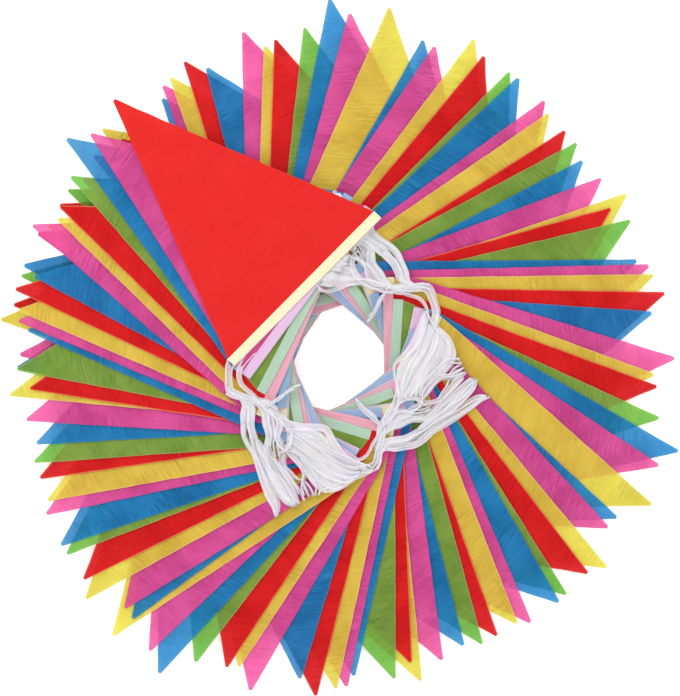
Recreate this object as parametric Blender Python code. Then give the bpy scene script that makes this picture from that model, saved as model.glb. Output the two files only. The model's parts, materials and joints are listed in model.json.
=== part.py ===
"""Pennant bunting laid out as a wheel.

One long white tape carries ninety-six triangular nylon pennants. The string is folded back and
forth, so that the pennants fan out flat around an open hub, each one lying on the one before it,
and the free tape between them gathers in hairpin loops on top of the pile.

Metres, +Z up, seen from above as it lies. Angles run clockwise from +Y.
"""

import math
from typing import NamedTuple

import bmesh
import bpy
import numpy as np
from mathutils import Matrix, Vector
from mathutils.bvhtree import BVHTree

# One pennant: a triangle of cloth whose top edge is bound by the white tape
HEADING = 0.200
DROP = 0.254
TAPE_WIDTH = 0.010
TIP_WIDTH = 0.003

# Thicknesses and the clearance between pieces that lie on each other
SHEET = 0.0010
LAP = 0.0003
REST_GAP = 0.0003
PITCH = SHEET + LAP + REST_GAP

# The lie of the pennants about the hub
NEAREST_HEADING = 0.045
FIRST_TIP = 7.9
LEAN_START, LEAN_MIDDLE, LEAN_END = 5.3, 9.5, 7.4
FAN_SPREAD = 102.1

# The pile is shaped on one net of rings and spokes, so that neighbouring layers nest
SPOKES = 10
NET_START = -45.0
SETTLING_STEPS = 500
SETTLING_STEP = 0.25
LAYERS_A_SPOKE = 5.0
LEAST_SHARE = 1e-6
TURNS_COUNTED = 3
FULL_TURN = 360.0

# Free tape between two pennants, seen as hairpin loops
LOOP_BAND = 0.0075
LOOP_STATIONS = 9
LOOP_BLUNTNESS = 0.8
LOOP_OVER = 0.0006
LOOP_CREEP = 0.00005


class Ring(NamedTuple):
    """A ring of the net: its radius, and its turn clockwise that follows a pennant's leading edge."""

    radius: float
    twist: float


class Row(NamedTuple):
    """One pennant of a fan."""

    colour: str
    turn: float
    reach: float


class Fan(NamedTuple):
    """A run of the string: the same rows, turned about the hub and shifted."""

    turn: float
    right: float
    up: float
    first_row: int
    lead: float


class Pennant(NamedTuple):
    """Where one pennant lies: its colour, axis, heading centre, drop and tip angle."""

    colour: str
    axis: float
    heading: Vector
    drop: float
    tip_angle: float


class Loop(NamedTuple):
    """One hairpin of tape: the row it starts from, its length, half width and swing off the axis."""

    row: int
    reach: float
    spread: float
    swing: float


RINGS = (
    Ring(0.026, 5.0),
    Ring(0.085, 50.0),
    Ring(0.152, 64.0),
    Ring(0.215, 16.0),
    Ring(0.370, 0.0),
)

# Turn in degrees clockwise from the first pennant, reach in millimetres from hub to tip
ROWS = (
    Row("yellow", 0.0, 335),
    Row("blue", 6.8, 310),
    Row("pink", 9.1, 307),
    Row("yellow", 15.1, 327),
    Row("red", 17.9, 316),
    Row("green", 23.2, 314),
    Row("blue", 25.1, 314),
    Row("pink", 31.2, 311),
    Row("yellow", 33.3, 304),
    Row("red", 37.6, 303),
    Row("green", 40.7, 303),
    Row("blue", 43.9, 296),
    Row("pink", 48.6, 301),
    Row("yellow", 53.4, 314),
    Row("red", 54.3, 294),
    Row("green", 57.9, 306),
    Row("blue", 65.2, 298),
    Row("pink", 66.7, 308),
    Row("yellow", 68.6, 310),
    Row("red", 72.1, 317),
    Row("blue", 75.2, 302),
    Row("pink", 83.5, 322),
    Row("yellow", 86.6, 303),
    Row("red", 88.7, 307),
    Row("green", 94.2, 314),
    Row("blue", 98.8, 340),
    Row("pink", 102.1, 326),
)

# Turn in degrees, shifts in millimetres, first row used, extra turn of the first pennant
FANS = (
    Fan(-108.3, -2.1, 0.0, 13, 0.0),
    Fan(0.0, 0.0, 0.0, 0, 0.0),
    Fan(103.1, -8.0, -17.6, 0, 2.2),
    Fan(204.1, -8.0, -18.1, 0, 6.5),
)

# The last pennant, a red one on top of all the others
TOP_AXIS, TOP_HEADING, TOP_SIDE = 314.7, 0.072, 0.0169

# The loops along one fan, lengths in metres and swings in degrees
LOOPS = (
    Loop(0, 0.044, 0.010, 78.0),
    Loop(2, 0.036, 0.011, 20.0),
    Loop(4, 0.040, 0.010, -6.0),
    Loop(6, 0.048, 0.011, -18.0),
    Loop(8, 0.074, 0.010, -28.0),
    Loop(10, 0.080, 0.011, -38.0),
    Loop(12, 0.074, 0.010, -47.0),
    Loop(14, 0.060, 0.011, -30.0),
    Loop(16, 0.044, 0.010, -44.0),
    Loop(18, 0.038, 0.011, -36.0),
    Loop(20, 0.034, 0.010, -70.0),
    Loop(22, 0.034, 0.009, -84.0),
)

COLOURS = {
    "yellow": (0.80, 0.62, 0.06),
    "blue": (0.02, 0.27, 0.55),
    "pink": (0.75, 0.09, 0.36),
    "red": (0.76, 0.02, 0.02),
    "green": (0.18, 0.42, 0.05),
    "tape": (0.88, 0.88, 0.90),
}


def clear_scene():
    """Removes whatever objects the file holds."""
    for old in list(bpy.data.objects):
        bpy.data.objects.remove(old, do_unlink=True)


def direction(angle):
    """The unit vector at a clockwise angle from +Y, in degrees."""
    return Vector((math.sin(math.radians(angle)), math.cos(math.radians(angle)), 0.0))


def angle_of(point):
    """The clockwise angle from +Y of a point about the hub, in degrees."""
    return math.degrees(math.atan2(point[0], point[1]))


def nearest_turn(angle, about):
    """The same angle, counted so that it lies within half a turn of another."""
    return about + (angle - about + FULL_TURN / 2) % FULL_TURN - FULL_TURN / 2


def lean_at(turn):
    """How far a pennant's axis lags behind its tip, smoothly through three values."""
    share = turn / FAN_SPREAD
    bulge = LEAN_MIDDLE - (LEAN_START + LEAN_END) / 2
    return LEAN_START + (LEAN_END - LEAN_START) * share + 4 * bulge * share * (1 - share)


def lay_pennants():
    """All the pennants in string order, from the lowest to the topmost."""
    laid = []
    for fan in FANS:
        shift = Vector((fan.right, fan.up, 0.0)) / 1000
        for number, row in enumerate(ROWS[fan.first_row:]):
            lead = fan.lead if number == 0 else 0.0
            turned = Matrix.Rotation(math.radians(-fan.turn - lead), 3, "Z")
            own_tip = FIRST_TIP + row.turn
            own_axis = own_tip - lean_at(row.turn)
            reach = row.reach / 1000
            along = direction(own_axis)
            across = direction(own_axis + 90)
            lag = math.radians(own_tip - own_axis)
            start = max(reach * math.cos(lag) - DROP, NEAREST_HEADING)
            drop = reach * math.cos(lag) - start
            heading = along * start + across * reach * math.sin(lag)
            tip = turned @ (heading + along * drop) + shift
            expected = FIRST_TIP + row.turn + fan.turn + lead
            laid.append(Pennant(row.colour, own_axis + fan.turn + lead, turned @ heading + shift, drop,
                                nearest_turn(angle_of(tip), expected)))
    heading = direction(TOP_AXIS) * TOP_HEADING + direction(TOP_AXIS + 90) * TOP_SIDE
    tip = heading + direction(TOP_AXIS) * DROP
    laid.append(Pennant("red", TOP_AXIS, heading, DROP, nearest_turn(angle_of(tip), TOP_AXIS)))
    return laid


def outline_planes(pennant):
    """The upright planes that bound a pennant in plan, as (point, outward normal)."""
    along = direction(pennant.axis)
    across = direction(pennant.axis + 90)
    tip = pennant.heading + along * pennant.drop
    flank = math.atan2((HEADING - TIP_WIDTH) / 2, pennant.drop)
    planes = [(pennant.heading - along * TAPE_WIDTH, -along), (tip, along)]
    for side in (-1, 1):
        corner = pennant.heading + across * side * HEADING / 2
        planes.append((corner, across * side))
        planes.append((corner, across * side * math.cos(flank) + along * math.sin(flank)))
    return planes


def wheel_net():
    """A flat triangulated net of rings and spokes about the hub."""
    net = bmesh.new()
    spoke = [net.verts.new(direction(NET_START + ring.twist) * ring.radius) for ring in RINGS]
    links = [net.edges.new(ends) for ends in zip(spoke, spoke[1:])]
    bmesh.ops.spin(net, geom=spoke + links, cent=(0, 0, 0), axis=(0, 0, 1), angle=math.tau,
                   steps=SPOKES, use_merge=True)
    bmesh.ops.triangulate(net, faces=net.faces[:], quad_method="SHORT_EDGE")
    net.verts.index_update()
    return net


def thicken(sheet):
    """Gives an open sheet its thickness, upwards."""
    raised = bmesh.ops.extrude_face_region(sheet, geom=sheet.faces[:], use_keep_orig=True)
    top = [item for item in raised["geom"] if isinstance(item, bmesh.types.BMVert)]
    bmesh.ops.translate(sheet, verts=top, vec=(0.0, 0.0, SHEET))
    bmesh.ops.recalc_face_normals(sheet, faces=sheet.faces[:])


def new_object(name, mesh_data, collection):
    """An object from a bmesh, which is freed."""
    mesh = bpy.data.meshes.new(name)
    mesh_data.to_mesh(mesh)
    mesh_data.free()
    made = bpy.data.objects.new(name, mesh)
    collection.objects.link(made)
    return made


def cut_net(net, pennant):
    """A copy of the net, cut to a pennant's outline."""
    sheet = net.copy()
    for point, normal in outline_planes(pennant):
        everything = sheet.verts[:] + sheet.edges[:] + sheet.faces[:]
        bmesh.ops.bisect_plane(sheet, geom=everything, dist=1e-6, plane_co=point, plane_no=normal,
                               clear_outer=True)
    return sheet


class Pile:
    """Heights in the pile, at the joints of the wheel's net.

    All layers share one net, each a pitch above the last. How far the pile has sunk at a joint is
    counted along the string, so its end has values of its own where it lies over its start.
    """

    def __init__(self, net, groups, middles):
        self.middles = middles
        self.corners = [vert.co.copy() for vert in net.verts]
        self.faces = [[vert.index for vert in face.verts] for face in net.faces]
        self.frames = [
            np.linalg.inv([[self.corners[corner][axis] for corner in face] for axis in (0, 1)] + [[1, 1, 1]])
            for face in self.faces
        ]
        tree = BVHTree.FromBMesh(net)
        self.layers, self.joints, self.shares, self.cells = [], [], [], []
        for layer, group in enumerate(groups):
            for pennant in group:
                self.note_pennant(net, tree, layer, pennant)
        self.sunk = self.settle(len(groups))

    def joint_number(self, corner, middle):
        """A joint's number, which grows with each full turn of the string."""
        angle = angle_of(self.corners[corner])
        turns = round((nearest_turn(angle, middle) - angle) / FULL_TURN)
        return corner + len(self.corners) * (turns + 1)

    def note_pennant(self, net, tree, layer, pennant):
        """Notes the joints about every corner of a pennant's faces, with each joint's share there."""
        sheet = cut_net(net, pennant)
        for part in sheet.faces:
            number = tree.find_nearest(part.calc_center_median())[2]
            joints = [self.joint_number(corner, self.middles[layer]) for corner in self.faces[number]]
            for vert in part.verts:
                self.layers.append(float(layer))
                self.joints.append(joints)
                self.shares.append(self.frames[number] @ (vert.co.x, vert.co.y, 1.0))
                self.cells.append(number + len(self.faces) * (joints[0] // len(self.corners)))
        sheet.free()

    def settle(self, layer_count):
        """Lets the pile sink at every joint until a layer there meets the floor or the layer below."""
        layers, joints, shares = np.array(self.layers), np.array(self.joints), np.array(self.shares)
        cells = {}
        for cell, layer, corners in zip(self.cells, self.layers, self.joints):
            first, last = cells.get(cell, (layer, layer, None))[:2]
            cells[cell] = (min(first, layer), max(last, layer), corners)
        seams = [
            (corner, first - cells[cell - len(self.faces)][1] - 1)
            for cell, (first, last, corners) in cells.items() if cell - len(self.faces) in cells
            for corner in corners
        ]
        over = np.array([seam[0] for seam in seams])
        room = np.array([seam[1] for seam in seams])
        held = shares > LEAST_SHARE
        spread = np.broadcast_to(layers[:, None], held.shape)
        most = np.full(len(self.corners) * TURNS_COUNTED, np.inf)
        np.minimum.at(most, joints[held], spread[held])
        most += LAYERS_A_SPOKE
        sunk = np.full(len(most), -float(layer_count))
        for _ in range(SETTLING_STEPS):
            spare = layers - (shares * sunk[joints]).sum(axis=1)
            drop = np.minimum(most - sunk, SETTLING_STEP)
            np.minimum.at(drop, joints[held], np.broadcast_to(spare[:, None], held.shape)[held])
            np.minimum.at(drop, over, room + sunk[over - len(self.corners)] - sunk[over])
            sunk += np.maximum(drop, 0.0)
        return sunk

    def height(self, layer, corner):
        """The underside of a layer at a joint of the net, in metres."""
        return PITCH * (layer - self.sunk[self.joint_number(corner, self.middles[layer])])


def pennant_solid(name, pennant, net, pile, layer, lift, collection):
    """One pennant with its heading, cut from the net at its place in the pile."""
    raised = net.copy()
    for vert in raised.verts:
        vert.co.z = pile.height(layer, vert.index) + lift
    sheet = cut_net(raised, pennant)
    raised.free()
    thicken(sheet)
    return new_object(name, sheet, collection)


def fuse(solids):
    """Joins solids that share volume into the first, as one closed body."""
    body = solids[0]
    for other in solids[1:]:
        join = body.modifiers.new("join", "BOOLEAN")
        join.operation = "UNION"
        join.solver = "EXACT"
        join.object = other
        bpy.context.view_layer.update()
        evaluated = body.evaluated_get(bpy.context.evaluated_depsgraph_get())
        joined = bpy.data.meshes.new_from_object(evaluated)
        body.modifiers.clear()
        body.data = joined
        bpy.data.objects.remove(other, do_unlink=True)
    return body


def corner_of(pennant):
    """The heading's anticlockwise corner, where the free tape begins."""
    return pennant.heading - direction(pennant.axis + 90) * HEADING / 2


def hairpin_route(pennant, loop, lie, lift):
    """Points along one hairpin of tape, from its pennant's corner out and back."""
    along = direction(pennant.axis + loop.swing)
    across = direction(pennant.axis + loop.swing + 90)
    start = corner_of(pennant) - direction(pennant.axis) * TAPE_WIDTH / 2
    points = []
    for station in range(LOOP_STATIONS):
        turn = math.pi * station / (LOOP_STATIONS - 1)
        place = start + along * loop.reach * math.sin(turn) ** LOOP_BLUNTNESS
        place -= across * loop.spread * math.cos(turn)
        place.z = float(np.dot(lie, lie_terms(place, pennant.tip_angle))) + lift
        points.append(place)
    return points


def lie_terms(place, middle):
    """What the lie of the tape grows with: distance from the hub, angle about it, and one."""
    return place.xy.length, nearest_turn(angle_of(place), middle), 1.0


def band_along(name, points, collection):
    """A flat band of tape along a route."""
    band = bmesh.new()
    edge = left = right = None
    for number, point in enumerate(points):
        before = points[max(number - 1, 0)]
        after = points[min(number + 1, len(points) - 1)]
        run = (after - before).xy.normalized()
        side = Vector((run.y, -run.x, 0.0)) * LOOP_BAND / 2
        if edge is None:
            left, right = band.verts.new(point - side), band.verts.new(point + side)
            edge = band.edges.new((left, right))
            continue
        new = bmesh.ops.extrude_edge_only(band, edges=[edge])["geom"]
        edge = next(item for item in new if isinstance(item, bmesh.types.BMEdge))
        one, two = edge.verts
        if (one.co - left.co).length > (one.co - right.co).length:
            one, two = two, one
        left, right = one, two
        left.co = point - side
        right.co = point + side
    thicken(band)
    return new_object(name, band, collection)


def surface_tree(objects):
    """A search tree over the faces of several objects."""
    points, faces = [], []
    for item in objects:
        first = len(points)
        points += [vert.co.copy() for vert in item.data.vertices]
        faces += [[first + corner for corner in face.vertices] for face in item.data.polygons]
    return BVHTree.FromPolygons(points, faces)


def top_at(tree, place):
    """The height of the topmost surface at a place, or None beside the pile."""
    hit = tree.ray_cast(Vector((place.x, place.y, 1.0)), Vector((0.0, 0.0, -1.0)))[0]
    return None if hit is None else hit.z


def clear_of(pennant, route):
    """Whether a route of tape stays beside a pennant in plan."""
    planes = outline_planes(pennant)
    margins = [max((place - point).dot(normal) for point, normal in planes) for place in route]
    return min(margins) > LOOP_BAND


def lie_under(tree, routes, middles):
    """How the top of the pile changes with the distance from the hub and the angle about it."""
    terms, tops = [], []
    for route, middle in zip(routes, middles):
        for place in route:
            top = top_at(tree, place)
            if top is not None:
                terms.append(lie_terms(place, middle))
                tops.append(top)
    return np.linalg.lstsq(np.array(terms), np.array(tops), rcond=None)[0]


def rest_on(body, tree, clearance):
    """Moves a body straight up or down until its least gap above a surface is a given one."""
    trial = bmesh.new()
    trial.from_mesh(body.data)
    bmesh.ops.subdivide_edges(trial, edges=trial.edges[:], cuts=3, use_grid_fill=True)
    gaps = []
    for vert in trial.verts:
        top = top_at(tree, vert.co)
        if top is not None:
            gaps.append(vert.co.z - top)
    trial.free()
    body.data.transform(Matrix.Translation((0.0, 0.0, clearance - min(gaps))))


def finish_of(name):
    """The material of one colour of cloth, or of the tape."""
    finish = bpy.data.materials.new(name)
    finish.use_nodes = True
    shader = finish.node_tree.nodes["Principled BSDF"]
    shader.inputs["Base Color"].default_value = (*COLOURS[name], 1.0)
    shader.inputs["Roughness"].default_value = 0.6
    shader.inputs["Metallic"].default_value = 0.0
    return finish


def build_leaves(pennants, collection):
    """The pennants as solids: the lowest and topmost alone, the others in neighbouring pairs."""
    last = len(pennants) - 1
    groups = [[0]] + [[first, first + 1] for first in range(1, last, 2)] + [[last]]
    middles = [sum(pennants[n].tip_angle for n in group) / len(group) for group in groups]
    net = wheel_net()
    pile = Pile(net, [[pennants[n] for n in group] for group in groups], middles)
    leaves = []
    for layer, group in enumerate(groups):
        numbers = "_".join(f"{n:02d}" for n in group)
        kind = "pennant" if len(group) == 1 else "pennants"
        name = f"{kind}_{numbers}_{pennants[group[-1]].colour}"
        solids = [
            pennant_solid(f"{name}_{n}", pennants[n], net, pile, layer, LAP * place, collection)
            for place, n in enumerate(group)
        ]
        leaf = fuse(solids)
        leaf.name = leaf.data.name = name
        leaves.append(leaf)
    net.free()
    return leaves


def build_loops(pennants, leaves, collection):
    """The free tape on top of the pile: a run of hairpin loops for each fan, fused where they cross."""
    tree = surface_tree(leaves)
    first = len(ROWS) - FANS[0].first_row
    level = (0.0, 0.0, 0.0)
    runs = []
    for fan in range(1, len(FANS)):
        placed = [(pennants[first + loop.row], loop) for loop in LOOPS]
        placed = [(start, loop) for start, loop in placed
                  if clear_of(pennants[-1], hairpin_route(start, loop, level, 0.0))]
        flat = [hairpin_route(start, loop, level, 0.0) for start, loop in placed]
        lie = lie_under(tree, flat, [start.tip_angle for start, _ in placed])
        name = f"tape_loops_{fan}"
        bands = []
        for place, (start, loop) in enumerate(placed):
            lift = place % 2 * LOOP_OVER + place * LOOP_CREEP
            bands.append(band_along(f"{name}_{place}", hairpin_route(start, loop, lie, lift), collection))
        run = fuse(bands)
        run.name = run.data.name = name
        rest_on(run, tree, REST_GAP)
        runs.append(run)
        first += len(ROWS)
    return runs


def centre_on_floor(objects):
    """Moves every mesh so that the whole stands on the floor with its box centred on the origin."""
    points = np.array([vert.co for item in objects for vert in item.data.vertices])
    low, high = points.min(axis=0), points.max(axis=0)
    shift = Vector((-(low[0] + high[0]) / 2, -(low[1] + high[1]) / 2, -low[2]))
    for item in objects:
        item.data.transform(Matrix.Translation(shift))


def main():
    """Builds the bunting."""
    clear_scene()
    bunting = bpy.data.collections.new("fabric_bunting")
    bpy.context.scene.collection.children.link(bunting)
    pennants = lay_pennants()
    leaves = build_leaves(pennants, bunting)
    runs = build_loops(pennants, leaves, bunting)
    finishes = {name: finish_of(name) for name in COLOURS}
    for leaf in leaves:
        leaf.data.materials.clear()
        leaf.data.materials.append(finishes[leaf.name.rsplit("_", 1)[1]])
    for run in runs:
        run.data.materials.clear()
        run.data.materials.append(finishes["tape"])
    centre_on_floor(leaves + runs)


main()
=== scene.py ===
"""Dressed model of a cloth pennant bunting, laid out as a wheel.

Ninety-six thin nylon pennants lie around an open hub, each on the one before it, over twelve more of
which only the tips show. Their top edges are bound in white tape, and the free tape between them
gathers in crumpled bunches on top of the pile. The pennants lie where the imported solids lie, each row
swung a little about its tips. Metres, +Z up, seen from above; angles run clockwise from +Y about the
hub.
"""

import json
import logging
import math
from dataclasses import dataclass
from enum import Enum
from typing import Callable, NamedTuple

import bmesh
import bpy
import numpy as np
from mathutils import Matrix, Vector, noise
from mathutils.bvhtree import BVHTree

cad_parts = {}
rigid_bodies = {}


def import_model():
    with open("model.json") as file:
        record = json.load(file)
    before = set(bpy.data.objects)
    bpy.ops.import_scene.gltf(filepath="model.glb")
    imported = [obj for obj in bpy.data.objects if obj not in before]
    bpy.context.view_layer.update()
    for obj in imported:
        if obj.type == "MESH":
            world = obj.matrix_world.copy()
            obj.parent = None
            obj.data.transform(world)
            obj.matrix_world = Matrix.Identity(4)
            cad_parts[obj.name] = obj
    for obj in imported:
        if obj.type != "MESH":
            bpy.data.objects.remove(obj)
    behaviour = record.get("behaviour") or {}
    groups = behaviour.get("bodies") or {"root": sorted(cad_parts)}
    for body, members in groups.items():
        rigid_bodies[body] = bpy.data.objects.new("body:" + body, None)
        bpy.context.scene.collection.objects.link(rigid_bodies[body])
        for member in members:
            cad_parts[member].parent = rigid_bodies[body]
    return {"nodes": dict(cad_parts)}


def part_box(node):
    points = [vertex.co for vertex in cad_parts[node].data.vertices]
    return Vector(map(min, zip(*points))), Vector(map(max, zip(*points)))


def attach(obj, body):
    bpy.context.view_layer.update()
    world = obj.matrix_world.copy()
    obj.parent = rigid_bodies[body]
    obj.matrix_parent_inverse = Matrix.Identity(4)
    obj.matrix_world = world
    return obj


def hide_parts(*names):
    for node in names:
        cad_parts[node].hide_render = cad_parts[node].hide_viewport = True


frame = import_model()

Array = np.ndarray
LOG = logging.getLogger("bunting")
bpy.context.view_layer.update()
BODY = "root"

# One pennant
HEADING = 0.200
DROP = 0.254
TAPE_WIDTH = 0.010
TIP_WIDTH = 0.003
CLOTH_UNDER_TAPE = 0.009

# The pile: the rise from one pair of pennants to the next, and where in it each of the two lies
PITCH = 0.0016
SOLID_MIDDLE = 0.00065
LOWER_LIE = 0.00035
UPPER_LIE = 0.00115
FLOOR_LIE = 0.0003

# The lie of the pennants about the hub
NEAREST_HEADING = 0.045
FIRST_TIP = 7.9
LEAN_START, LEAN_MIDDLE, LEAN_END = 5.3, 9.5, 7.4
FAN_SPREAD = 102.1
FULL_TURN = 360.0
TOP_AXIS, TOP_HEADING, TOP_SIDE = 314.7, 0.072, 0.0169

# The photograph's frame: pixels, metres a pixel, and the pixel that the hub lies on
IMAGE_WIDTH, IMAGE_HEIGHT = 680, 696
PIXEL = 0.00097
HUB_PIXEL = (342, 350)


class Dye(Enum):
    """The colours of the cloth."""

    YELLOW = "yellow"
    BLUE = "blue"
    PINK = "pink"
    RED = "red"
    GREEN = "green"


class Row(NamedTuple):
    """One pennant of a fan: its dye, its tip's turn, its reach in millimetres and its swing about its tip."""

    dye: Dye
    turn: float
    reach: float
    swing: float = 0.0


class Fan(NamedTuple):
    """A run of the string: its rows, turned and shifted in millimetres, and how far its first row leads them."""

    turn: float
    right: float
    up: float
    first_row: int
    lead: float


ROWS = (
    Row(Dye.YELLOW, 0.0, 335),
    Row(Dye.BLUE, 6.8, 310, -1.0),
    Row(Dye.PINK, 9.1, 307, 1.3),
    Row(Dye.YELLOW, 15.1, 327),
    Row(Dye.RED, 17.9, 316),
    Row(Dye.GREEN, 23.2, 314, 0.4),
    Row(Dye.BLUE, 25.1, 314, 1.1),
    Row(Dye.PINK, 31.2, 311, 2.2),
    Row(Dye.YELLOW, 33.3, 304, 1.8),
    Row(Dye.RED, 37.6, 303, -0.2),
    Row(Dye.GREEN, 40.7, 303, 1.0),
    Row(Dye.BLUE, 43.9, 296, -1.7),
    Row(Dye.PINK, 48.6, 301, 0.8),
    Row(Dye.YELLOW, 53.4, 314, -1.8),
    Row(Dye.RED, 54.3, 294),
    Row(Dye.GREEN, 57.9, 306, -0.8),
    Row(Dye.BLUE, 65.2, 298, 4.0),
    Row(Dye.PINK, 66.7, 308, 2.3),
    Row(Dye.YELLOW, 68.6, 310, 0.9),
    Row(Dye.RED, 72.1, 317, -0.8),
    Row(Dye.BLUE, 75.2, 302, -1.8),
    Row(Dye.PINK, 83.5, 322, 3.2),
    Row(Dye.YELLOW, 86.6, 303, 2.8),
    Row(Dye.RED, 88.7, 307, 0.9),
    Row(Dye.GREEN, 94.2, 314, -0.7),
    Row(Dye.BLUE, 98.8, 340, -0.5),
    Row(Dye.PINK, 102.1, 326, -0.5),
)

# These headings lie further out, hidden by the free tape or clear of the hole, by row, in millimetres
DRAWN_BACK = {1: 12.0, 2: 13.5, 16: 4.0, 20: 7.0, 22: 4.5}

# These pennants, by their place in the string, lie turned clockwise about the hub and about their tips, in degrees
SWUNG = {41: (0.0, 2.4), 68: (1.1, 1.3)}

# The hidden start of the string: the tip of its first run's row at no turn, and its shift in millimetres
START_TURN = -99.9
START_RIGHT = -5.0

FANS = (
    Fan(-108.3, -2.1, 0.0, 13, 0.0),
    Fan(0.0, 0.0, 0.0, 0, 0.0),
    Fan(103.1, -8.0, -17.6, 0, 2.2),
    Fan(204.1, -8.0, -18.1, 0, 6.5),
)


def direction(angle: float) -> Vector:
    """The unit vector at a clockwise angle from +Y, in degrees."""
    return Vector((math.sin(math.radians(angle)), math.cos(math.radians(angle)), 0.0))


def angle_of(place: Vector) -> float:
    """The clockwise angle from +Y of a place about the origin, in degrees."""
    return math.degrees(math.atan2(place[0], place[1]))


def nearest_turn(angle: float | Array, about: float) -> float | Array:
    """The same angle, counted so that it lies within half a turn of another."""
    return about + (angle - about + FULL_TURN / 2) % FULL_TURN - FULL_TURN / 2


def lean_at(turn: float) -> float:
    """How far a pennant's axis lags behind its tip, in degrees."""
    share = turn / FAN_SPREAD
    bulge = LEAN_MIDDLE - (LEAN_START + LEAN_END) / 2
    return LEAN_START + (LEAN_END - LEAN_START) * share + 4 * bulge * share * (1 - share)


def noise_at(*places: Array | float) -> Array:
    """The noise at places given by three coordinates, each an array or one number."""
    return np.array([noise.noise(place) for place in np.broadcast(*places)])


def plumb(tree: BVHTree, x: float, y: float, rising: bool) -> Vector | None:
    """Where a plumb line at a place in the row frame first meets a surface, from below or from above."""
    way = 1.0 if rising else -1.0
    return tree.ray_cast(Vector((x, y, -way)), Vector((0.0, 0.0, way)))[0]


# ---- Shader expressions


class Wire:
    """The output of a shader node, which takes part in sums and products."""

    def __init__(self, graph: "Graph", socket: bpy.types.NodeSocket) -> None:
        """Keeps the node tree that the output belongs to."""
        self.graph = graph
        self.socket = socket

    def __add__(self, other: "Wire | float") -> "Wire":
        """self + other."""
        return self.graph.maths("ADD", self, other)

    def __sub__(self, other: "Wire | float") -> "Wire":
        """self - other."""
        return self.graph.maths("SUBTRACT", self, other)

    def __rsub__(self, other: float) -> "Wire":
        """other - self."""
        return self.graph.maths("SUBTRACT", other, self)

    def __mul__(self, other: "Wire | float") -> "Wire":
        """self * other."""
        return self.graph.maths("MULTIPLY", self, other)

    def __truediv__(self, other: "Wire | float") -> "Wire":
        """self / other."""
        return self.graph.maths("DIVIDE", self, other)

    __radd__ = __add__
    __rmul__ = __mul__


class Graph:
    """The node tree of one material, written as expressions."""

    def __init__(self, name: str) -> None:
        """Starts an empty material of that name."""
        self.material = bpy.data.materials.new(name)
        self.material.use_nodes = True
        self.tree = self.material.node_tree
        self.tree.nodes.clear()

    def add(self, kind: str, settings: dict | None = None, inputs: dict | None = None,
            output: str | int = 0) -> Wire:
        """Adds a node.

        Args:
            kind: the node's type.
            settings: properties of the node, set first.
            inputs: values or wires for its sockets, by name or number.
            output: the socket that is returned.

        Returns:
            The wire from that output.
        """
        node = self.tree.nodes.new(kind)
        for name, value in (settings or {}).items():
            setattr(node, name, value)
        for name, value in (inputs or {}).items():
            if isinstance(value, Wire):
                self.tree.links.new(value.socket, node.inputs[name])
            else:
                node.inputs[name].default_value = value
        return Wire(self, node.outputs[output])

    def maths(self, operation: str, *values: Wire | float) -> Wire:
        """A Math node on up to three values."""
        return self.add("ShaderNodeMath", {"operation": operation}, dict(enumerate(values)))

    def clamped(self, value: Wire) -> Wire:
        """A value held between 0 and 1."""
        return self.add("ShaderNodeMath", {"operation": "ADD", "use_clamp": True}, {0: value, 1: 0.0})

    def mixed(self, share: Wire | float, first: Wire | tuple, second: Wire | tuple) -> Wire:
        """A colour between two others."""
        return self.add("ShaderNodeMix", {"data_type": "RGBA"},
                        {0: share, 6: first, 7: second}, output=2)

    def point(self, x: Wire | float, y: Wire | float, z: Wire | float) -> Wire:
        """A vector of three values."""
        return self.add("ShaderNodeCombineXYZ", inputs={0: x, 1: y, 2: z})

    def speckle(self, place: Wire, detail: float = 2.0) -> Wire:
        """Noise of unit size at a place."""
        return self.add("ShaderNodeTexNoise", inputs={"Vector": place, "Scale": 1.0, "Detail": detail})

    def mottle(self, across: Wire, along: Wire, spots: tuple, detail: float) -> Wire:
        """Noise on a cloth, with so many spots a metre across and along, read at a depth."""
        return self.speckle(self.point(across * spots[0], along * spots[1], spots[2]), detail)

    def cloth_place(self) -> tuple[Wire, Wire, Wire]:
        """Where a point lies on its cloth: across, along and in from the edge, in metres."""
        place = self.add("ShaderNodeAttribute", {"attribute_name": "grain"}, output="Vector")
        split = self.add("ShaderNodeSeparateXYZ", inputs={0: place})
        node = split.socket.node
        return tuple(Wire(self, node.outputs[number]) for number in range(3))

    def bump(self, height: Wire, distance: float, strength: float) -> Wire:
        """Relief of a height in the shading."""
        return self.add("ShaderNodeBump", inputs={"Height": height, "Distance": distance, "Strength": strength})

    def finish(self, cover: float, tint: tuple, **shader: Wire | float | tuple) -> bpy.types.Material:
        """Closes the material with a see-through cloth shader.

        Args:
            cover: the share of the light that the threads stop.
            tint: the colour of what shows between them.
            shader: values or wires for the cloth's own shader.

        Returns:
            The finished material.
        """
        names = {key.replace("_", " "): value for key, value in shader.items()}
        cloth = self.add("ShaderNodeBsdfPrincipled", inputs=names)
        gap = self.add("ShaderNodeBsdfTransparent", inputs={"Color": (*tint, 1.0)})
        both = self.add("ShaderNodeMixShader", inputs={0: cover, 1: gap, 2: cloth})
        self.add_output(both)
        return self.material

    def add_output(self, surface: Wire) -> None:
        """Joins a surface to the material's output."""
        output = self.tree.nodes.new("ShaderNodeOutputMaterial")
        self.tree.links.new(surface.socket, output.inputs["Surface"])


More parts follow.
